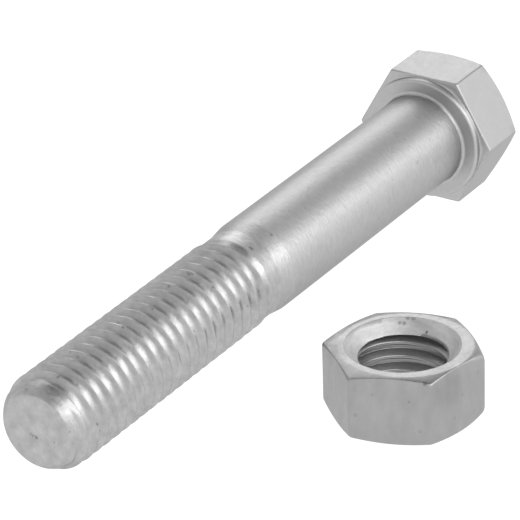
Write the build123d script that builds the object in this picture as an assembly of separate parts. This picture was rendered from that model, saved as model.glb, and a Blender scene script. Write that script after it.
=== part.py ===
from build123d import *
import os
from math import atan, ceil, cos, radians, sin, sqrt, tan

# A hexagon bolt with a partly threaded shank, lying on its side, and its nut, taken off
# and laid flat beside it. Millimetres, +Z up. Both pieces stand on the plane Z = 0, and
# X = 0, Y = 0 is the middle of the box that holds the two of them. The bolt points its
# tip along -X.

# Thread shared by the bolt and the nut: metric coarse, right-hand
thread_diameter = 10.0
thread_pitch = 1.5
thread_play = 0.07          # each thread stands this far off the nominal form, on the radius
flank_angle = 30.0          # of one flank, from square to the axis

# Bolt, along its own axis from the bearing face at 0 to the tip
bolt_length = 68.6          # under the head to the tip
bolt_thread_length = 32.4   # tip to the start of the run-out
shank_diameter = 10.0
neck_diameter = 9.45        # plain band between the shank and the thread
neck_length = 2.0
neck_taper_length = 1.5
runout_length = 1.6         # stretch over which the groove comes up to the neck
tip_face_diameter = 7.75
tip_round_length = 1.9
under_head_fillet = 0.5
bolt_thread_turn = -17.0    # degrees, where the ridge starts round the axis

# Bolt head, and the dome of both hexagons' chamfers
chamfer_dome = 0.06         # how far a chamfer stands over a straight cone, at its middle
head_across_flats = 13.75
head_height = 6.9           # bearing face to the top, washer face included
washer_face_height = 0.7
washer_face_inset = 0.2     # the washer face is this much smaller than the flats, on the radius
washer_face_round = 0.25
head_chamfer_inset = 0.35   # flat to the edge of the round top face
head_chamfer_angle = 30.0

# Nut
nut_across_flats = 13.6
nut_height = 7.1
nut_chamfer_inset = 0.15
nut_chamfer_angle = 30.0
countersink_diameter = 11.1
countersink_angle = 90.0    # included
nut_thread_turn = 74.5      # degrees, where the groove starts round the axis

# Where the nut lies
nut_from_head = 40.6        # bearing face to the nut's centre, back along the bolt
nut_gap = 9.65              # nearest corner circle of the nut to the bolt's thread
nut_turn = -9.3             # degrees, the nut turned on the floor

# ISO thread form, worked out from the pitch
sharp_height = thread_pitch * sqrt(3) / 2
pitch_radius = thread_diameter / 2 - sharp_height * 3 / 8
bolt_pitch_radius = pitch_radius - thread_play
nut_pitch_radius = pitch_radius + thread_play
bolt_crest_radius = thread_diameter / 2 - thread_play
bolt_root_radius = thread_diameter / 2 - sharp_height * 17 / 24
nut_crest_radius = thread_diameter / 2 - sharp_height * 5 / 8 + thread_play
nut_root_radius = thread_diameter / 2 + thread_play

# How far a ridge or a groove is carried into or past the surface it meets
reach = 0.15
thread_start = bolt_length - bolt_thread_length
shank_length = thread_start - neck_length - neck_taper_length


def turned(outline):
    """A closed outline of radius and height, turned about Z."""
    return revolve(Plane.XZ * make_face(outline), axis=Axis.Z)


def ridge_turns(inner, outer, at_pitch, bottom, top, turn):
    """A right-hand ridge between two radii, one solid for each turn, end to end."""
    slope = tan(radians(flank_angle))
    half_inner = thread_pitch / 4 + (at_pitch - inner) * slope
    half_outer = thread_pitch / 4 + (at_pitch - outer) * slope
    section = make_face(
        Polyline(
            (inner, -half_inner),
            (outer, -half_outer),
            (outer, half_outer),
            (inner, half_inner),
            close=True,
        )
    )
    path = Helix(thread_pitch, thread_pitch, outer)
    one = Rot(0, 0, turn) * sweep(Plane.XZ * section, path=path, is_frenet=True)
    count = ceil((top - bottom) / thread_pitch)
    return [Pos(0, 0, bottom + i * thread_pitch) * one for i in range(count)]


def hexagon_bar(across_flats, bottom, top):
    """A hexagonal bar with one flat square to -Y."""
    outline = RegularPolygon(across_flats / 2, 6, major_radius=False)
    return Pos(0, 0, bottom) * extrude(outline, amount=top - bottom)


def chamfer_line(face_radius, outer_radius, angle, height):
    """The slightly domed chamfer of a hexagon's corners, out from the edge of a round face."""
    rise = (outer_radius - face_radius) * tan(radians(angle))
    return SagittaArc(
        (face_radius, height), (outer_radius, height + rise), -chamfer_dome
    )


def turned_blank():
    """The washer face, shank, neck and thread core as one turned form, long at the tip."""
    washer_radius = head_across_flats / 2 - washer_face_inset
    shank_radius = shank_diameter / 2
    neck_radius = neck_diameter / 2
    taper_end = shank_length + neck_taper_length
    with BuildLine() as outline:
        Polyline(
            (0, bolt_length + thread_pitch),
            (0, -head_height / 2),
            (washer_radius, -head_height / 2),
            (washer_radius, -washer_face_round),
        )
        JernArc((washer_radius, -washer_face_round), (0, 1), washer_face_round, 90)
        bearing_edge = (washer_radius - washer_face_round, 0)
        Line(bearing_edge, (shank_radius + under_head_fillet, 0))
        JernArc(
            (shank_radius + under_head_fillet, 0), (-1, 0), under_head_fillet, -90
        )
        Line((shank_radius, under_head_fillet), (shank_radius, shank_length))
        TangentArc(
            (shank_radius, shank_length), (neck_radius, taper_end), tangent=(0, 1)
        )
        Polyline(
            (neck_radius, taper_end),
            (neck_radius, thread_start),
            (bolt_root_radius, thread_start + runout_length),
            (bolt_root_radius, bolt_length + thread_pitch),
            (0, bolt_length + thread_pitch),
        )
    return turned(outline.line)


def bolt_ridge():
    """The thread's ridge, turn by turn, rising out of the neck and running past the tip."""
    start = thread_start - thread_pitch / 2
    past_tip = bolt_length + thread_pitch
    turns = ridge_turns(
        bolt_root_radius - reach,
        bolt_crest_radius + reach / 2,
        bolt_pitch_radius,
        start,
        past_tip,
        bolt_thread_turn,
    )
    envelope = turned(
        Polyline(
            (0, start - thread_pitch),
            (neck_diameter / 2 - reach, start - thread_pitch),
            (neck_diameter / 2 - reach, thread_start - reach),
            (bolt_crest_radius, thread_start + runout_length / 2),
            (bolt_crest_radius, past_tip + thread_pitch),
            (0, past_tip + thread_pitch),
            close=True,
        )
    )
    return [turn & envelope for turn in turns]


def tip_form():
    """All that stays of the bolt at its rounded tip."""
    wide = head_across_flats
    tip_radius = tip_face_diameter / 2
    round_start = bolt_length - tip_round_length
    with BuildLine() as outline:
        Polyline(
            (0, bolt_length),
            (0, -head_height),
            (wide, -head_height),
            (wide, thread_start),
            (bolt_crest_radius + reach, thread_start),
            (bolt_crest_radius + reach, round_start),
        )
        TangentArc(
            (bolt_crest_radius + reach, round_start),
            (tip_radius, bolt_length),
            tangent=(0, 1),
        )
        Line((tip_radius, bolt_length), (0, bolt_length))
    return turned(outline.line)


def bolt_head():
    """The hexagon, with its corners cut by the chamfer round the top face."""
    outer_radius = head_across_flats / sqrt(3) + reach
    face_radius = head_across_flats / 2 - head_chamfer_inset
    with BuildLine() as outline:
        chamfer = chamfer_line(face_radius, outer_radius, head_chamfer_angle, -head_height)
        Polyline(chamfer @ 1, (outer_radius, 0), (0, 0), (0, -head_height), chamfer @ 0)
    bar = hexagon_bar(head_across_flats, -head_height, -washer_face_height)
    return bar & turned(outline.line)


def bolt():
    """The whole bolt along +Z, its bearing face at 0."""
    threaded = (turned_blank() + bolt_ridge()) & tip_form()
    return threaded + bolt_head()


def lay_down(piece):
    """Lays the bolt on a flat of its head and its thread, as it comes to rest."""
    contact = bolt_length - tip_round_length
    drop = head_across_flats / 2 - bolt_crest_radius
    tilt = atan(drop / (contact + washer_face_height))
    height = head_across_flats / 2 * cos(tilt) - washer_face_height * sin(tilt)
    seat = Plane((0, 0, height), x_dir=(0, -1, 0), z_dir=(-cos(tilt), 0, -sin(tilt)))
    return seat.location * piece


def nut_bar():
    """The nut's hexagon, its corners cut by the chamfer round each face."""
    outer_radius = nut_across_flats / sqrt(3) + reach
    face_radius = nut_across_flats / 2 - nut_chamfer_inset
    with BuildLine() as outline:
        chamfer = chamfer_line(face_radius, outer_radius, nut_chamfer_angle, 0)
        Polyline(chamfer @ 1, (outer_radius, nut_height / 2), (0, nut_height / 2))
        Polyline((0, nut_height / 2), (0, 0), chamfer @ 0)
    lower_half = turned(outline.line)
    rounded = lower_half + mirror(lower_half, about=Plane.XY.offset(nut_height / 2))
    return hexagon_bar(nut_across_flats, 0, nut_height) & rounded


def countersunk_bore():
    """What is drilled out of the nut: the bore at the thread's crest, and its two mouths."""
    slope = tan(radians(countersink_angle / 2))
    mouth = countersink_diameter / 2
    depth = (mouth - nut_crest_radius) / slope
    wide = mouth + reach * slope
    return turned(
        Polyline(
            (0, -reach),
            (wide, -reach),
            (nut_crest_radius, depth),
            (nut_crest_radius, nut_height - depth),
            (wide, nut_height + reach),
            (0, nut_height + reach),
            close=True,
        )
    )


def nut():
    """The whole nut, standing on one face, with its thread cut."""
    groove = ridge_turns(
        nut_crest_radius - reach,
        nut_root_radius,
        nut_pitch_radius,
        -thread_pitch,
        nut_height + thread_pitch,
        nut_thread_turn,
    )
    return nut_bar() - countersunk_bore() - groove


def lay_beside(piece):
    """Puts the nut flat on the floor, beside the bolt's thread."""
    beside = bolt_crest_radius + nut_gap + nut_across_flats / sqrt(3)
    return Pos(-nut_from_head, -beside, 0) * Rot(0, 0, nut_turn) * piece


def main():
    pieces = {"bolt": lay_down(bolt()), "nut": lay_beside(nut())}
    box = pieces["bolt"].bounding_box().add(pieces["nut"].bounding_box())
    middle = box.center()
    to_origin = Pos(-middle.X, -middle.Y, -box.min.Z)
    os.makedirs("parts", exist_ok=True)
    for name, piece in pieces.items():
        export_step(to_origin * piece, f"parts/{name}.step")


main()
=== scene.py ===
from math import atan, atan2, cos, inf, pi, radians, sin, sqrt, tan
import bmesh
import bpy
from mathutils import Matrix, Vector, noise


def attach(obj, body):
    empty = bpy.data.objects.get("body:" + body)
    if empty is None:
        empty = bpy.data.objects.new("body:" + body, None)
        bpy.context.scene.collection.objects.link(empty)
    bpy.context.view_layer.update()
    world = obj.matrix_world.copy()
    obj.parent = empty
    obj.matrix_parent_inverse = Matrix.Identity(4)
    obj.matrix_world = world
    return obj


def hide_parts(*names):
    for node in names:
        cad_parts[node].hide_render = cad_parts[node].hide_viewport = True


# A zinc-plated hexagon bolt on its side, with its nut off and flat beside it.
# Both are drawn in millimetres along their own axis, then laid in the frame in metres.

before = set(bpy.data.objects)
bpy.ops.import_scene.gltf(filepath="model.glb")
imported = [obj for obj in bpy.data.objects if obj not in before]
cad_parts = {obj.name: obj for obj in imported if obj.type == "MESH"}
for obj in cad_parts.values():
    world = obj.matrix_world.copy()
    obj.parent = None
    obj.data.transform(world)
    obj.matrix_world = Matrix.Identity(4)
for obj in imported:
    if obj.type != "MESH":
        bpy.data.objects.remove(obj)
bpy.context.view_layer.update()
print("frame loaded")


# Shapes that both pieces use

# millimetres
samePoint = 1e-4          # points closer than this are one
onPlane = 1e-6            # a cut leaves a point that lies this close to it
nearHeight = 1e-3         # a point this close to a height is on it
cutMerge = 0.01           # the points of a cut are merged over this distance
nearCone = 0.03           # a face this close to the countersink's cone is part of it

# points along each flat of a hexagon, and round each of its corners
flatSteps, cornerSteps = 14, 6


def drawLine(bm, points):
    # radius and height pairs, as a line of edges in the XZ plane
    verts = [bmesh.ops.create_vert(bm, co=(r, 0, z))["vert"][0] for r, z in points]
    return verts + [bm.edges.new(pair) for pair in zip(verts, verts[1:])]


def turnLine(bm, points, steps):
    bmesh.ops.spin(bm, geom=drawLine(bm, points), cent=(0, 0, 0), axis=(0, 0, 1),
                   angle=2 * pi, steps=steps, use_merge=True)


def onlyVerts(geom):
    return [g for g in geom if isinstance(g, bmesh.types.BMVert)]


def spinThread(bm, points, pitch, turns, steps):
    # one turn of the form climbs the helix, and is copied up turn by turn
    line = drawLine(bm, points)
    bmesh.ops.spin(bm, geom=line, cent=(0, 0, 0), axis=(0, 0, 1),
                   dvec=(0, 0, pitch / steps), angle=2 * pi, steps=steps)
    one = bm.verts[:] + bm.edges[:] + bm.faces[:]
    for number in range(1, turns):
        copied = bmesh.ops.duplicate(bm, geom=one)["geom"]
        bmesh.ops.translate(bm, vec=(0, 0, pitch * number), verts=onlyVerts(copied))
    bmesh.ops.remove_doubles(bm, verts=bm.verts[:], dist=samePoint)


def cutAcross(bm, height, side=1, clear=False):
    bmesh.ops.bisect_plane(bm, geom=bm.verts[:] + bm.edges[:] + bm.faces[:], dist=onPlane,
                           plane_co=(0, 0, height), plane_no=(0, 0, side), clear_outer=clear)


def trimAt(bm, height, keepAbove, steps):
    # cuts the spun thread square to its axis and leaves one point on the cut for each step
    cutAcross(bm, height, -1 if keepAbove else 1, True)
    onCut = [v for v in bm.verts if abs(v.co.z - height) < samePoint]
    # points that will merge are first moved to the outermost of them, so that every run merges them alike
    stepOf = lambda v: round(atan2(v.co.y, v.co.x) * steps / (2 * pi)) % steps
    step, radius = None, 0
    for v in sorted(onCut, key=lambda v: (stepOf(v), -v.co.xy.length)):
        if stepOf(v) != step or radius - v.co.xy.length > cutMerge:
            step, radius = stepOf(v), v.co.xy.length
        angle = 2 * pi * step / steps
        v.co = Vector((radius * cos(angle), radius * sin(angle), height))
    bmesh.ops.remove_doubles(bm, verts=onCut, dist=cutMerge)


def openEdges(bm, height, low=0, high=inf):
    # the edges of one face only, at this height and between two radii
    return [e for e in bm.edges if e.is_boundary and all(
        abs(v.co.z - height) < nearHeight and low < v.co.xy.length < high for v in e.verts)]


def fillBetween(bm, height, low, high):
    bmesh.ops.triangle_fill(bm, edges=openEdges(bm, height, low, high), use_beauty=True, normal=(0, 0, 1))


def growEdges(bm, edges):
    grown = bmesh.ops.extrude_edge_only(bm, edges=edges)["geom"]
    return onlyVerts(grown), [g for g in grown if isinstance(g, bmesh.types.BMEdge)]


def hexagonColumns(apothem, cornerRound):
    # angle and radius of each point round a hexagon with rounded corners, flats at 30 + 60k degrees
    half = radians(30)
    reach = (apothem - cornerRound) * tan(half)
    centre = (apothem - cornerRound) / cos(half)
    columns = []
    for side in range(6):
        middle = radians(30 + 60 * side)
        for i in range(flatSteps + 1):
            across = -reach + 2 * reach * (0.5 - 0.5 * cos(pi * i / flatSteps))
            columns.append((middle + atan(across / apothem), sqrt(apothem ** 2 + across ** 2)))
        for i in range(1, cornerSteps):
            turn = radians(-30 + 60 * i / cornerSteps)
            x, y = centre + cornerRound * cos(turn), cornerRound * sin(turn)
            columns.append((middle + half + atan2(y, x), sqrt(x * x + y * y)))
    return columns


def loftRings(bm, columns, rings, closeStart=False):
    # a closed loop of edges is extruded from ring to ring; a ring is a function of a column's
    # outer radius and angle, and gives the radius and height of its point there
    place = bm.verts.layers.int.get("place") or bm.verts.layers.int.new("place")
    # the operator may hand its points back in any order, so they are sorted round the circle
    verts = sorted(bmesh.ops.create_circle(bm, segments=len(columns), radius=1)["verts"],
                   key=lambda v: atan2(v.co.y, v.co.x))
    edges = list(dict.fromkeys(e for v in verts for e in v.link_edges))
    for i, v in enumerate(verts):
        v[place] = i
    first = verts
    for number, ring in enumerate(rings):
        if number:
            verts, edges = growEdges(bm, edges)
        for v in verts:
            angle, outer = columns[v[place]]
            radius, height = ring(outer, angle)
            v.co = Vector((radius * cos(angle), radius * sin(angle), height))
    if closeStart:
        middle = sum((v.co for v in first), Vector()) / len(first)
        bmesh.ops.pointmerge(bm, verts=first, merge_co=middle)


def roundedCorner(outer, face, ease, height, slope, share):
    # a chamfer of this slope leaves a round face and is eased into the flat at the outer radius;
    # share 1 is where the easing starts on the chamfer, 0 where it ends on the flat
    steep, full = radians(slope), radians(90 - slope)
    turn = full * share
    rise = tan(steep) * cos(full) - tan(steep) + sin(full) - sin(turn)
    return outer - ease * (1 - cos(turn)), height + (outer - face) * tan(steep) + ease * rise


def threadForm(form, pitch, outwards):
    # radius and height over one pitch, with the crest at height 0; outwards is 1 for a bolt, -1 for a nut
    steep = radians(form["flank"])
    crestFlat, crestRound, rootFlat = form["crestFlat"], form["crestRound"], form["rootFlat"]
    rounds = 2 * crestRound + sum(form["rootRound"])
    depth = ((pitch - 2 * crestFlat - 2 * rootFlat) * tan(steep)
             - rounds * (sin(steep) * tan(steep) - 1 + cos(steep))) / 2
    bends = [steep * share for share in (0, 0.2, 0.4, 0.6, 0.8, 1)]
    sides = []
    for rootRound in form["rootRound"]:
        both = crestRound + rootRound
        width = crestFlat + rootFlat + both * sin(steep) + (depth - both * (1 - cos(steep))) / tan(steep)
        side = [(0, 0)]
        side += [(crestFlat + crestRound * sin(a), crestRound * (1 - cos(a))) for a in bends]
        side += [(width - rootFlat - rootRound * sin(a), depth - rootRound * (1 - cos(a))) for a in reversed(bends)]
        sides.append(side + [(width, depth)] if rootFlat else side)
    whole = [(-across, down) for across, down in reversed(sides[0][1:])] + sides[1]
    return [(form["crest"] - outwards * down, across) for across, down in whole]


def finishPiece(bm, name, matrix, node):
    bmesh.ops.recalc_face_normals(bm, faces=bm.faces[:])
    bmesh.ops.transform(bm, matrix=matrix @ Matrix.Scale(0.001, 4), verts=bm.verts[:])
    mesh = bpy.data.meshes.new(name)
    for face in bm.faces:
        face.smooth = True
    loose = [e for e in bm.edges if len(e.link_faces) != 2]
    print(name, len(bm.faces), "faces,", len(loose), "open edges")
    bm.to_mesh(mesh)
    bm.free()
    piece = bpy.data.objects.new(name, mesh)
    bpy.context.scene.collection.objects.link(piece)
    piece.modifiers.new("weightedNormals", "WEIGHTED_NORMAL")
    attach(piece, "root")
    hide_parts(node)
    return piece


# The bolt

boltSize = {
    "length": 68.6, "threadStart": 36.2, "runout": 1.6, "crestRise": 0.8, "pitch": 1.5, "steps": 96,
    "shank": 5.0, "neck": 4.725, "root": 4.2, "shankEnd": 32.25, "neckStart": 34.2, "fillet": 0.35,
    "cut": 35.2,                # where the turned neck is joined to the thread
    "crestAt": 1.065,           # a crest's height at angle 0, and every pitch after
    "shankLevels": (31, 24, 16, 8, 2.5, 1.2, 0.8),
    "taperShares": (0.03, 0.1, 0.3, 0.5, 0.7, 0.9, 0.98),
    # rolling leaves the crests a little uneven, with a fine seam along them
    "wobble": 0.04, "wobbleScale": (0.8, 0.8, 1.2),
    "seam": 0.04, "seamScale": (1.1, 1.1, 2.3), "seamShare": 0.6, "seamWidth": 0.01,
    # head
    "apothem": 6.875, "headHeight": 6.9, "topFace": 6.525, "topSlope": 30, "edgeBand": 0.06,
    "washer": 6.675, "washerHeight": 0.7, "washerRound": 0.25,
    "cornerRound": 0.3, "edgeRound": 0.1, "cornerEase": 0.12,
    "topRadii": (0.5, 2, 3.5, 5, 6, 6.4), "flatLevels": (-5, -4, -3, -2),
    # tip: a taper, and rings of the end face as radius, depth under it and share of its offset
    "tipFace": 3.74, "tipSlope": 0.88, "tipLength": 2.72, "rim": 68.42, "faceOff": (0.05, 0),
    "faceBelow": 0.004, "faceWave": 0.05, "faceWaveScale": 1.5, "faceWaveAt": 4, "faceDip": 0.02,
    "faceRings": ((3.74, 0.03, 0.7), (3.69, 0.004, 1), (3.6, 0, 1), (3.2, 0.005, 1), (2.8, 0.02, 1),
                  (2.2, 0, 1), (1.6, 0, 1), (1, 0.015, 1), (0.4, 0.02, 1)),
}

# the root is rounded more under the flank that faces the tip than under the other
boltThread = {"crest": 4.925, "crestFlat": 0.03, "crestRound": 0.06, "rootFlat": 0,
              "rootRound": (0.15, 0.8), "flank": 60}

boltPlace = {"bearing": (30.799, 10.919, 6.853), "tilt": 1.653}

boltZones = ("zincShank", "zincThread", "zincHead", "zincWasher")


def tipRadius(z):
    # a taper that leaves the edge of the end face and eases into the thread
    s = boltSize
    along = min(max(s["length"] - z, 0), s["tipLength"])
    return s["tipFace"] + s["tipSlope"] * along * (1 - along / (2 * s["tipLength"]))


def noiseAt(co, scale):
    return noise.noise(Vector([c * part for c, part in zip(co, scale)]))


def boltRadius(co, radius):
    s = boltSize
    radius -= s["wobble"] * (0.5 + 0.5 * noiseAt(co, s["wobbleScale"]))
    turn = atan2(co.y, co.x) / (2 * pi)
    offCrest = (co.z - s["crestAt"]) / s["pitch"] - turn
    if abs(offCrest - round(offCrest)) < s["seamWidth"]:
        radius -= s["seam"] * max(0, s["seamShare"] + noiseAt(co, s["seamScale"]))
    # the run-out, where the groove comes up to the neck and the crest sinks to it
    along = co.z - s["threadStart"]
    if along < s["runout"]:
        floor = s["neck"] - (s["neck"] - s["root"]) * max(along, 0) / s["runout"]
        roof = s["neck"] + (boltThread["crest"] - s["neck"]) * max(along, 0) / s["crestRise"]
        radius = min(max(radius, floor), roof)
    return min(radius, tipRadius(co.z))


def closeTip(bm):
    # the sheared end face, with a crisp edge and two soft dips
    s = boltSize
    edges = openEdges(bm, s["rim"])
    top = s["length"] - s["faceBelow"]
    for radius, below, share in s["faceRings"]:
        verts, edges = growEdges(bm, edges)
        off = Vector(s["faceOff"]) * share
        for v in verts:
            turn = atan2(v.co.y, v.co.x)
            around = Vector((cos(turn) * s["faceWaveScale"], sin(turn) * s["faceWaveScale"], s["faceWaveAt"]))
            wavy = radius + s["faceWave"] * noise.noise(around)
            v.co = Vector((wavy * cos(turn) + off.x, wavy * sin(turn) + off.y, top - below))
    bmesh.ops.pointmerge(bm, verts=verts, merge_co=(*s["faceOff"], top - s["faceDip"]))


def shankLine():
    # from the neck, over its taper and the plain shank, to the fillet under the head
    s = boltSize
    f = s["fillet"]
    line = [(s["neck"], s["cut"]), (s["neck"], s["cut"] - 0.5), (s["neck"], s["neckStart"] + 0.1)]
    line += [(s["neck"] + (s["shank"] - s["neck"]) * share, s["neckStart"] - (s["neckStart"] - s["shankEnd"]) * share)
             for share in s["taperShares"]]
    line += [(s["shank"], s["shankEnd"] - 0.12)]
    line += [(s["shank"], z) for z in s["shankLevels"]]
    line += [(s["shank"] + f - f * cos(radians(a)), f - f * sin(radians(a))) for a in (0, 15, 30, 45, 60, 75, 90)]
    return line + [(s["shank"] + f + 0.05, 0)]


def headRings():
    # from the middle of its top, over the chamfer, down the flats, under, and over the washer face;
    # narrow rings beside the edges keep their shading crisp
    s = boltSize
    top, under, w, q = -s["headHeight"], -s["washerHeight"], s["washer"], s["washerRound"]
    slope, band = s["topSlope"], s["edgeBand"]
    ease = lambda o: s["edgeRound"] + s["cornerEase"] * (o - s["apothem"])
    rings = [lambda o, t, r=r: (r, top) for r in (*s["topRadii"], s["topFace"] - band)]
    rings += [lambda o, t: (s["topFace"] + band, top + band * tan(radians(slope)))]
    rings += [lambda o, t, a=a: roundedCorner(o, s["topFace"], ease(o), top, slope, a) for a in (1, 0.66, 0.33, 0)]
    rings += [lambda o, t, z=z: (o, z) for z in s["flatLevels"]]
    rings += [lambda o, t: (o, under - ease(o) - 0.05)]
    rings += [lambda o, t, a=a: (o - ease(o) * (1 - cos(radians(a))), under - ease(o) * (1 - sin(radians(a))))
              for a in (0, 30, 60, 90)]
    rings += [lambda o, t: ((o - ease(o) + w) / 2, under), lambda o, t: (w + 0.02, under)]
    rings += [lambda o, t: (w, under + 0.03), lambda o, t: (w, under + 0.25), lambda o, t: (w, -q)]
    rings += [lambda o, t, a=a: (w - q + q * cos(radians(a)), -q + q * sin(radians(a))) for a in (22, 45, 68, 90)]
    return rings + [lambda o, t: (w - q - 0.05, 0), lambda o, t: (s["shank"] + s["fillet"] + 0.5, 0)]


def boltZone(height):
    s = boltSize
    if height > s["neckStart"]:
        return "zincThread"
    if height > 0.01:
        return "zincShank"
    return "zincWasher" if height > -s["washerHeight"] - 0.01 else "zincHead"


def buildBolt():
    s = boltSize
    bm = bmesh.new()
    start = s["crestAt"]
    while start + s["pitch"] < s["cut"] - s["pitch"]:
        start += s["pitch"]
    turns = int((s["length"] - start) / s["pitch"]) + 2
    form = [(r, z + start) for r, z in threadForm(boltThread, s["pitch"], 1)]
    spinThread(bm, form, s["pitch"], turns, s["steps"])
    for v in bm.verts:
        radius = v.co.xy.length
        scale = boltRadius(v.co, radius) / radius
        v.co.x, v.co.y = v.co.x * scale, v.co.y * scale
    trimAt(bm, s["rim"], False, s["steps"])
    trimAt(bm, s["cut"], True, s["steps"])
    closeTip(bm)
    turnLine(bm, shankLine(), s["steps"])
    onCut = [v for v in bm.verts if abs(v.co.z - s["cut"]) < nearHeight]
    bmesh.ops.remove_doubles(bm, verts=onCut, dist=cutMerge)
    loftRings(bm, hexagonColumns(s["apothem"], s["cornerRound"]), headRings(), closeStart=True)
    fillBetween(bm, 0, s["shank"], s["washer"])
    for face in bm.faces:
        face.material_index = boltZones.index(boltZone(face.calc_center_median().z))
    tilt = radians(boltPlace["tilt"])
    along, up = Vector((-cos(tilt), 0, -sin(tilt))), Vector((-sin(tilt), 0, cos(tilt)))
    turn = Matrix((up.cross(along), up, along)).transposed().to_4x4()
    laid = Matrix.Translation(Vector(boltPlace["bearing"]) * 0.001) @ turn
    return finishPiece(bm, "bolt_steel", laid, "bolt")


# The nut

nutSize = {
    "height": 7.1, "apothem": 6.8, "pitch": 1.5, "steps": 96,
    "face": 6.42, "faceOff": 0.28, "faceTowards": -75, "slope": 16,   # the chamfer's circle, off the middle
    "cornerRound": 0.45, "edgeRound": 0.08, "cornerEase": 0.25, "edgeBand": 0.06,
    "blunt": 0.75, "bluntTowards": -60, "bluntPower": 8,   # the corner on the right is blunter than the others
    "mouth": 5.55, "mouthLip": 1.02, "coneDepth": 1.25, "coneLip": 0.02, "crestAt": 0.31,
    "flatLevels": (1.5, 2.8, 4.2, 5.6),
}

nutThread = {"crest": 4.26, "crestFlat": 0.02, "crestRound": 0.16, "rootFlat": 0.11,
             "rootRound": (0.12, 0.12), "flank": 60}

nutPlace = {"centre": (-9.801, -11.513, 0.0012), "turn": -9.3}

nutZones = ("zincNut", "zincMouth")


def nutEase(outer, angle):
    # how far the edge at this column is rounded: little on the flats, more towards a corner
    s = nutSize
    blunt = s["blunt"] * max(0, cos(angle - radians(s["bluntTowards"]))) ** s["bluntPower"]
    return s["edgeRound"] + (s["cornerEase"] + blunt) * (outer - s["apothem"])


def nutRings():
    # up the outside, from the lower face to the upper
    s = nutSize
    slope, band = s["slope"], s["edgeBand"]
    circle = lambda t: s["face"] + s["faceOff"] * cos(t - radians(s["faceTowards"]))
    face = lambda o, t: min(circle(t), o - nutEase(o, t) / 2 - 0.04)
    half = [lambda o, t: (s["mouth"] + 0.5, 0), lambda o, t: (face(o, t) - band, 0)]
    half += [lambda o, t: (face(o, t) + band / 2, band / 2 * tan(radians(slope)))]
    half += [lambda o, t, a=a: roundedCorner(o, face(o, t), nutEase(o, t), 0, slope, a)
             for a in (1, 0.75, 0.5, 0.25, 0)]
    flip = lambda ring: lambda o, t: (ring(o, t)[0], s["height"] - ring(o, t)[1])
    return half + [lambda o, t, z=z: (o, z) for z in s["flatLevels"]] + [flip(r) for r in reversed(half)]


def buildNut():
    s = nutSize
    bm = bmesh.new()
    start = s["crestAt"] - 2 * s["pitch"]
    turns = int((s["height"] - start) / s["pitch"]) + 2
    form = [(r, z + start) for r, z in threadForm(nutThread, s["pitch"], -1)]
    spinThread(bm, form, s["pitch"], turns, s["steps"])
    # the countersink runs down over the first turn, and the thread starts under its lower edge
    for depth in (s["coneDepth"], s["coneDepth"] + s["coneLip"]):
        for height in (depth, s["height"] - depth):
            cutAcross(bm, height)
    for v in bm.verts:
        depth = min(v.co.z, s["height"] - v.co.z)
        if depth < s["coneDepth"] + s["coneLip"] / 2:
            scale = (s["mouth"] - depth) / v.co.xy.length
            v.co.x, v.co.y = v.co.x * scale, v.co.y * scale
    trimAt(bm, s["height"], False, s["steps"])
    trimAt(bm, 0, True, s["steps"])
    for height in (0, s["height"]):
        for v in growEdges(bm, openEdges(bm, height))[0]:
            v.co = Vector((v.co.x * s["mouthLip"], v.co.y * s["mouthLip"], height))
    loftRings(bm, hexagonColumns(s["apothem"], s["cornerRound"]), nutRings())
    for height in (0, s["height"]):
        fillBetween(bm, height, s["mouth"], s["face"])
    for face in bm.faces:
        middle = face.calc_center_median()
        depth = min(middle.z, s["height"] - middle.z)
        onCone = 0 < depth and abs(middle.xy.length + depth - s["mouth"]) < nearCone
        face.material_index = nutZones.index("zincMouth" if onCone else "zincNut")
    turn = Matrix.Rotation(radians(nutPlace["turn"]), 4, "Z")
    laid = Matrix.Translation(Vector(nutPlace["centre"]) * 0.001) @ turn
    return finishPiece(bm, "nut_steel", laid, "nut")


# Materials

def toLinear(hexColour):
    parts = [int(hexColour[i:i + 2], 16) / 255 for i in (1, 3, 5)]
    return [c / 12.92 if c <= 0.04045 else ((c + 0.055) / 1.055) ** 2.4 for c in parts] + [1]


def addNode(tree, kind, settings={}, links={}):
    node = tree.nodes.new(kind)
    for name, value in settings.items():
        if isinstance(name, int) or name in node.inputs.keys():
            node.inputs[name].default_value = value
        else:
            setattr(node, name, value)
    for name, source in links.items():
        tree.links.new(source, node.inputs[name])
    return node


def spread(tree, source, fromMin, fromMax, toMin, toMax, smooth=False):
    settings = {"From Min": fromMin, "From Max": fromMax, "To Min": toMin, "To Max": toMax}
    if smooth:
        settings["interpolation_type"] = "SMOOTHSTEP"
    return addNode(tree, "ShaderNodeMapRange", settings, {"Value": source}).outputs["Result"]


def combine(tree, operation, one, other):
    return addNode(tree, "ShaderNodeMath", {"operation": operation}, {0: one, 1: other}).outputs[0]


def darkMarks(tree, where, marks):
    # small pits in the plating, and on the nut two broad patches of painted shade, each at its own place on the
    # piece, ragged at the edge; millimetres
    ragged = addNode(tree, "ShaderNodeTexNoise", {"Scale": 6000, "Detail": 2}, {"Vector": where}).outputs["Color"]
    shift = addNode(tree, "ShaderNodeVectorMath", {"operation": "MULTIPLY_ADD", 1: (0.0003,) * 3, 2: (-0.00015,) * 3},
                    {0: ragged}).outputs[0]
    moved = addNode(tree, "ShaderNodeVectorMath", {"operation": "ADD"}, {0: where, 1: shift}).outputs[0]
    clear = None
    for place, size, depth in marks:
        away = addNode(tree, "ShaderNodeVectorMath", {"operation": "DISTANCE", 1: [c * 0.001 for c in place]},
                       {0: moved}).outputs["Value"]
        spot = spread(tree, away, size * 0.0004, size * 0.0013, 1 - depth, 1, True)
        clear = combine(tree, "MULTIPLY", clear, spot) if clear else spot
    return clear


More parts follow.
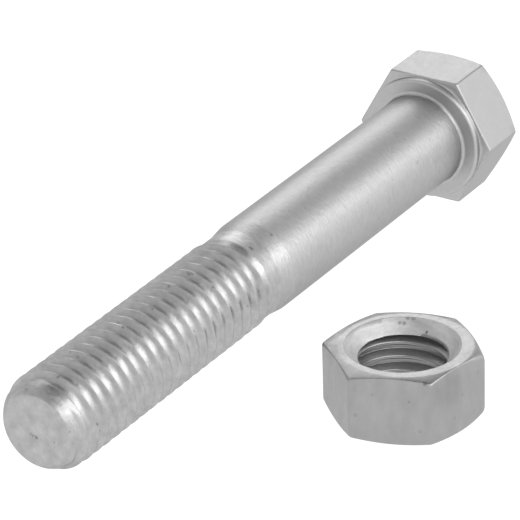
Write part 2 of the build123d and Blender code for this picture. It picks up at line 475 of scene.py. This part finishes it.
def zincSteel(name, look):
    # zinc electroplate on cold-forged steel: a soft grey sheen over fine forging texture
    material = bpy.data.materials.new(name)
    material.use_nodes = True
    tree = material.node_tree
    tree.nodes.clear()
    where = addNode(tree, "ShaderNodeTexCoord").outputs["Object"]
    stretched = addNode(tree, "ShaderNodeMapping", {"Scale": look["stretch"]}, {"Vector": where}).outputs["Vector"]
    # plating grain of 1/scale metres, drawn coarse enough to show
    grain = addNode(tree, "ShaderNodeTexNoise", {"Scale": look["grain"], "Detail": 4, "Roughness": 0.65},
                    {"Vector": where}).outputs["Fac"]
    # short strokes left by forging and tumbling
    strokes = addNode(tree, "ShaderNodeTexNoise", {"Scale": look["strokes"], "Detail": 3, "Roughness": 0.6},
                      {"Vector": stretched}).outputs["Fac"]
    # slow waves of about 4 mm, which also decide where the specks are
    waves = addNode(tree, "ShaderNodeTexNoise", {"Scale": 260, "Detail": 2}, {"Vector": where}).outputs["Fac"]
    specks = addNode(tree, "ShaderNodeTexVoronoi", {"Scale": look["speckScale"], "Randomness": 1},
                     {"Vector": stretched}).outputs["Distance"]
    pit = spread(tree, specks, look["speck"] * 0.4, look["speck"], 0, 1)
    rare = spread(tree, waves, 0.56, 0.6, 1, 0)
    keep = combine(tree, "MAXIMUM", pit, rare)
    dark, pale = toLinear(look["dark"]), toLinear(look["colour"])
    colour = addNode(tree, "ShaderNodeMix", {"data_type": "RGBA", 6: dark, 7: pale}, {0: keep}).outputs[2]
    tone = spread(tree, strokes, 0.3, 0.7, 1 - look["mottle"], 1 + look["mottle"])
    if look["marks"]:
        tone = combine(tree, "MULTIPLY", tone, darkMarks(tree, where, look["marks"]))
    final = addNode(tree, "ShaderNodeVectorMath", {"operation": "SCALE"}, {0: colour, "Scale": tone}).outputs[0]
    rough = spread(tree, grain, 0.3, 0.7, look["roughness"] - 0.05, look["roughness"] + 0.05)
    normal = None
    for source, height in ((waves, "waveHeight"), (strokes, "strokeHeight"), (grain, "grainHeight")):
        links = {"Height": source}
        if normal:
            links["Normal"] = normal
        settings = {"Strength": 1, "Distance": look[height] * 0.001}
        normal = addNode(tree, "ShaderNodeBump", settings, links).outputs["Normal"]
    shader = addNode(tree, "ShaderNodeBsdfPrincipled", {"Metallic": 1, "Specular Tint": toLinear(look["edge"])},
                     {"Normal": normal, "Base Color": final, "Roughness": rough})
    addNode(tree, "ShaderNodeOutputMaterial", {}, {"Surface": shader.outputs["BSDF"]})
    return material


# where the photograph shows a pit or a dark spot: place, size, and how dark it is
pitsAndPaintedShade = {
    "shank": [
        ((22.5, 6.37, 8.66), 0.16, .3), ((22.25, 6.34, 8.55), 0.12, .3), ((25.34, 5.99, 7.54), 0.1, .2),
        ((19.91, 7.81, 10.46), 0.14, .25), ((17.7, 6.37, 8.56), 0.12, .2), ((14.23, 5.95, 5.84), 0.13, .2),
        ((16.04, 10.0, 11.34), 0.08, .3), ((19.78, 7.03, 9.68), 0.1, .2), ((20.24, 8.01, 10.62), 0.1, .2),
        ((-1.76, 8.37, 10.22), 0.16, .35),
    ],
    "thread": [
        ((-37.74, 11.59, 4.39), 0.14, .3), ((-37.73, 11.32, 4.28), 0.15, .4), ((-37.73, 10.98, 4.19), 0.2, .5),
        ((-37.75, 9.23, 4.28), 0.1, .25), ((-37.75, 8.95, 4.25), 0.13, .35), ((-37.74, 8.51, 4.22), 0.1, .25),
        ((-37.65, 7.17, 5.82), 0.14, .3), ((-37.43, 12.07, 8.83), 0.16, .25), ((-33.67, 6.68, 4.14), 0.1, .3),
        ((-34.82, 6.06, 5.6), 0.18, .45), ((-24.8, 9.99, 10.01), 0.18, .4), ((-12.93, 10.55, 10.26), 0.18, .35),
        ((-4.89, 8.61, 9.95), 0.17, .5), ((-4.91, 8.82, 10.06), 0.16, .45), ((-20.34, 9.77, 10.01), 0.16, .4),
        ((-12.69, 7.98, 9.42), 0.14, .4), ((-35.31, 9.93, 9.67), 0.15, .35), ((-15.95, 10.84, 10.19), 0.16, .4),
        ((-17.54, 7.01, 7.12), 0.1, .35), ((-12.87, 10.25, 10.32), 0.15, .35), ((-23.71, 11.35, 9.63), 0.16, .25),
        ((-20.21, 10.08, 10.19), 0.13, .3), ((-12.9, 10.8, 10.35), 0.14, .3), ((-11.81, 9.48, 9.61), 0.16, .25),
        ((-9.45, 6.2, 6.38), 0.14, .3), ((-30.94, 11.71, 9.77), 0.14, .25), ((-31.05, 10.73, 9.57), 0.16, .25),
    ],
    "nut": [
        ((-15.51, -15.63, 4.76), 0.12, .3), ((-17.34, -10.81, 2.91), 0.2, .15), ((-16.75, -12.35, 5.19), 0.18, .12),
        ((-15.16, -16.56, 1.68), 0.2, .15), ((-10.43, -18.3, 3.84), 0.16, .15), ((-8.11, -18.68, 5.31), 0.2, .12),
        # the last mark on this line and the one on the next are wide painted shade, not pits: they darken the left
        # part of the top face and the upper part of the right flat towards its front corner
        ((-11.44, -18.13, 1.83), 0.2, .12), ((-14.92, -17.0, 6.8), 0.22, .4), ((-13.3, -7, 7.1), 1.7, .13),
        ((-12.6, -17.9, 5.2), 2.3, .12),
    ],
    "mouth": [
        ((-5.16, -11.32, 6.2), 0.15, .65), ((-4.88, -9.05, 7.05), 0.24, .4), ((-4.69, -9.57, 7.02), 0.24, .35),
        ((-5.59, -8.58, 6.68), 0.2, .4), ((-5.39, -8.97, 6.64), 0.22, .4),
    ],
}

# what the six looks share; heights in millimetres, scales per metre
forged = {
    "dark": "#a0a0a0", "edge": "#e6e6e6", "grain": 2500, "grainHeight": 0.004, "stretch": (1, 1, 1),
    "strokes": 500, "strokeHeight": 0.006, "waveHeight": 0.02, "mottle": 0.02, "speckScale": 700, "speck": 0.05,
    "marks": [],
}

looks = {
    # strokes run round the shank
    "zincShank": {
        **forged, "colour": "#b2b2b2", "dark": "#8a8a8a", "edge": "#c4c4c4", "roughness": 0.4, "grain": 3000,
        "grainHeight": 0.008, "stretch": (4.5, 1, 1), "strokes": 1400, "strokeHeight": 0.05, "mottle": 0.08,
        "speckScale": 900, "speck": 0.17, "marks": pitsAndPaintedShade["shank"],
    },
    "zincThread": {
        **forged, "colour": "#adadad", "dark": "#808080", "edge": "#d8d8d8", "roughness": 0.36, "grain": 3000,
        "grainHeight": 0.008, "stretch": (2, 1, 1), "strokes": 900, "strokeHeight": 0.045, "waveHeight": 0.03,
        "mottle": 0.13, "speckScale": 900, "speck": 0.02, "marks": pitsAndPaintedShade["thread"],
    },
    "zincHead": {**forged, "colour": "#a9a9a9", "roughness": 0.44},
    # the washer face is a little paler and rougher than the forged flats
    "zincWasher": {**forged, "colour": "#b4b4b4", "roughness": 0.46, "mottle": 0.03},
    "zincNut": {
        **forged, "colour": "#9e9e9e", "dark": "#808080", "edge": "#f2f2f2", "roughness": 0.38, "grainHeight": 0.01,
        "stretch": (1, 1, 0.5), "strokes": 700, "strokeHeight": 0.03, "waveHeight": 0.05, "mottle": 0.07,
        "speckScale": 900, "speck": 0.06, "marks": pitsAndPaintedShade["nut"],
    },
    # the countersink is left rough by its cutter; its colour, paler than the nut's, is painted sheen for the light
    # its cone catches
    "zincMouth": {
        **forged, "colour": "#c4c4c4", "dark": "#707070", "roughness": 0.58, "grainHeight": 0.02,
        "stretch": (1, 1, 4), "strokes": 420, "strokeHeight": 0.05, "waveHeight": 0.04, "mottle": 0.15,
        "speck": 0.2, "marks": pitsAndPaintedShade["mouth"],
    },
}

bolt = buildBolt()
nut = buildNut()
metals = {name: zincSteel(name, look) for name, look in looks.items()}
for piece, zones in ((bolt, boltZones), (nut, nutZones)):
    for name in zones:
        piece.data.materials.append(metals[name])
for name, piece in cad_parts.items():
    piece.data.materials.clear()
    piece.data.materials.append(metals["zincShank" if name == "bolt" else "zincNut"])
print("pieces built")


# Floor, light and camera; metres

studio = {
    "floorReach": 6, "paper": "#606060", "paperGlow": 1.04,   # the paper's glow keeps it white where it is seen
    "walls": (0.2, 0.6, 1.0, 0.7),        # from one height to another, pale to darker
    "overhead": (0.86, 0.97, 0, -0.5),    # the dark gap above the table
    "glow": (0.5, 0.95, 0, 0.5), "glowFrom": (0.342, -0.93, 0.12),
    "lamps": [
        # name, azimuth and height, distance, half angles across and up, radiance; angles in degrees
        ("softboxRight", -97, 37, 0.6, 50, 16, 2.0),
        ("softboxLoft", 70, 53, 0.8, 24, 12, 0.85),
        ("softboxBack", 33, 29, 0.8, 18, 13, 1.8),
    ],
}

view = {
    "at": (-0.28473, -0.18073, 0.17859), "right": (0.5470505, -0.8366646, -0.0269839),
    "up": (0.3892692, 0.2257204, 0.8930396), "ahead": (0.7410838, 0.4990418, -0.4491683),
    "focal": 3882.94, "width": 520,       # pixels of the photograph
    "sensor": 36,                         # millimetres
    "farthest": 20,
}


def buildFloor():
    bm = bmesh.new()
    bmesh.ops.create_grid(bm, x_segments=1, y_segments=1, size=studio["floorReach"])
    mesh = bpy.data.meshes.new("floor")
    bm.to_mesh(mesh)
    bm.free()
    floor = bpy.data.objects.new("floor", mesh)
    bpy.context.scene.collection.objects.link(floor)
    material = bpy.data.materials.new("whitePaper")
    material.use_nodes = True
    tree = material.node_tree
    tree.nodes.clear()
    path = addNode(tree, "ShaderNodeLightPath").outputs
    seen = combine(tree, "MAXIMUM", path["Is Camera Ray"], path["Is Glossy Ray"])
    shown = combine(tree, "MAXIMUM", seen, path["Is Transmission Ray"])
    scale = addNode(tree, "ShaderNodeMath", {"operation": "MULTIPLY", 1: studio["paperGlow"]}, {0: shown})
    glow = addNode(tree, "ShaderNodeEmission", {"Color": toLinear("#ffffff")}, {"Strength": scale.outputs[0]})
    paper = addNode(tree, "ShaderNodeBsdfDiffuse", {"Color": toLinear(studio["paper"])})
    both = addNode(tree, "ShaderNodeAddShader", {}, {0: glow.outputs[0], 1: paper.outputs[0]})
    addNode(tree, "ShaderNodeOutputMaterial", {}, {"Surface": both.outputs[0]})
    mesh.materials.append(material)


def buildRoom():
    # pale walls that darken upwards, a dark gap overhead, and a glow low on the right
    world = bpy.data.worlds.new("studioRoom")
    world.use_nodes = True
    tree = world.node_tree
    tree.nodes.clear()
    direction = addNode(tree, "ShaderNodeTexCoord").outputs["Generated"]
    height = addNode(tree, "ShaderNodeSeparateXYZ", {}, {"Vector": direction}).outputs["Z"]
    right = addNode(tree, "ShaderNodeVectorMath", {"operation": "DOT_PRODUCT", 1: studio["glowFrom"]},
                    {0: direction}).outputs["Value"]
    level = None
    for name, source in (("walls", height), ("overhead", height), ("glow", right)):
        part = spread(tree, source, *studio[name], True)
        level = combine(tree, "ADD", level, part) if level else part
    room = addNode(tree, "ShaderNodeBackground", {"Color": toLinear("#ffffff")}, {"Strength": level})
    addNode(tree, "ShaderNodeOutputWorld", {}, {"Surface": room.outputs[0]})
    bpy.context.scene.world = world


def buildLamps():
    # an oval lamp of one radiance gives pi times its area in watts; it faces the origin
    for name, azimuth, height, distance, wide, high, radiance in studio["lamps"]:
        light = bpy.data.lights.new(name, "AREA")
        light.shape = "ELLIPSE"
        light.size, light.size_y = 2 * distance * tan(radians(wide)), 2 * distance * tan(radians(high))
        light.energy = radiance * pi * pi * light.size * light.size_y / 4
        lamp = bpy.data.objects.new(name, light)
        bpy.context.scene.collection.objects.link(lamp)
        around, above = radians(azimuth), radians(height)
        towards = Vector((cos(around) * cos(above), sin(around) * cos(above), sin(above)))
        facing = towards.to_track_quat("Z", "Y").to_matrix().to_4x4()
        lamp.matrix_world = Matrix.Translation(towards * distance) @ facing


def buildCamera():
    camera = bpy.data.cameras.new("camera")
    camera.sensor_width = view["sensor"]
    camera.lens = view["focal"] * view["sensor"] / view["width"]
    camera.clip_end = view["farthest"]
    holder = bpy.data.objects.new("camera", camera)
    bpy.context.scene.collection.objects.link(holder)
    turn = Matrix((Vector(view["right"]), Vector(view["up"]), -Vector(view["ahead"]))).transposed().to_4x4()
    holder.matrix_world = Matrix.Translation(Vector(view["at"])) @ turn
    bpy.context.scene.camera = holder


buildFloor()
buildRoom()
buildLamps()
buildCamera()
bpy.context.scene.view_settings.view_transform = "Standard"
print("studio built")
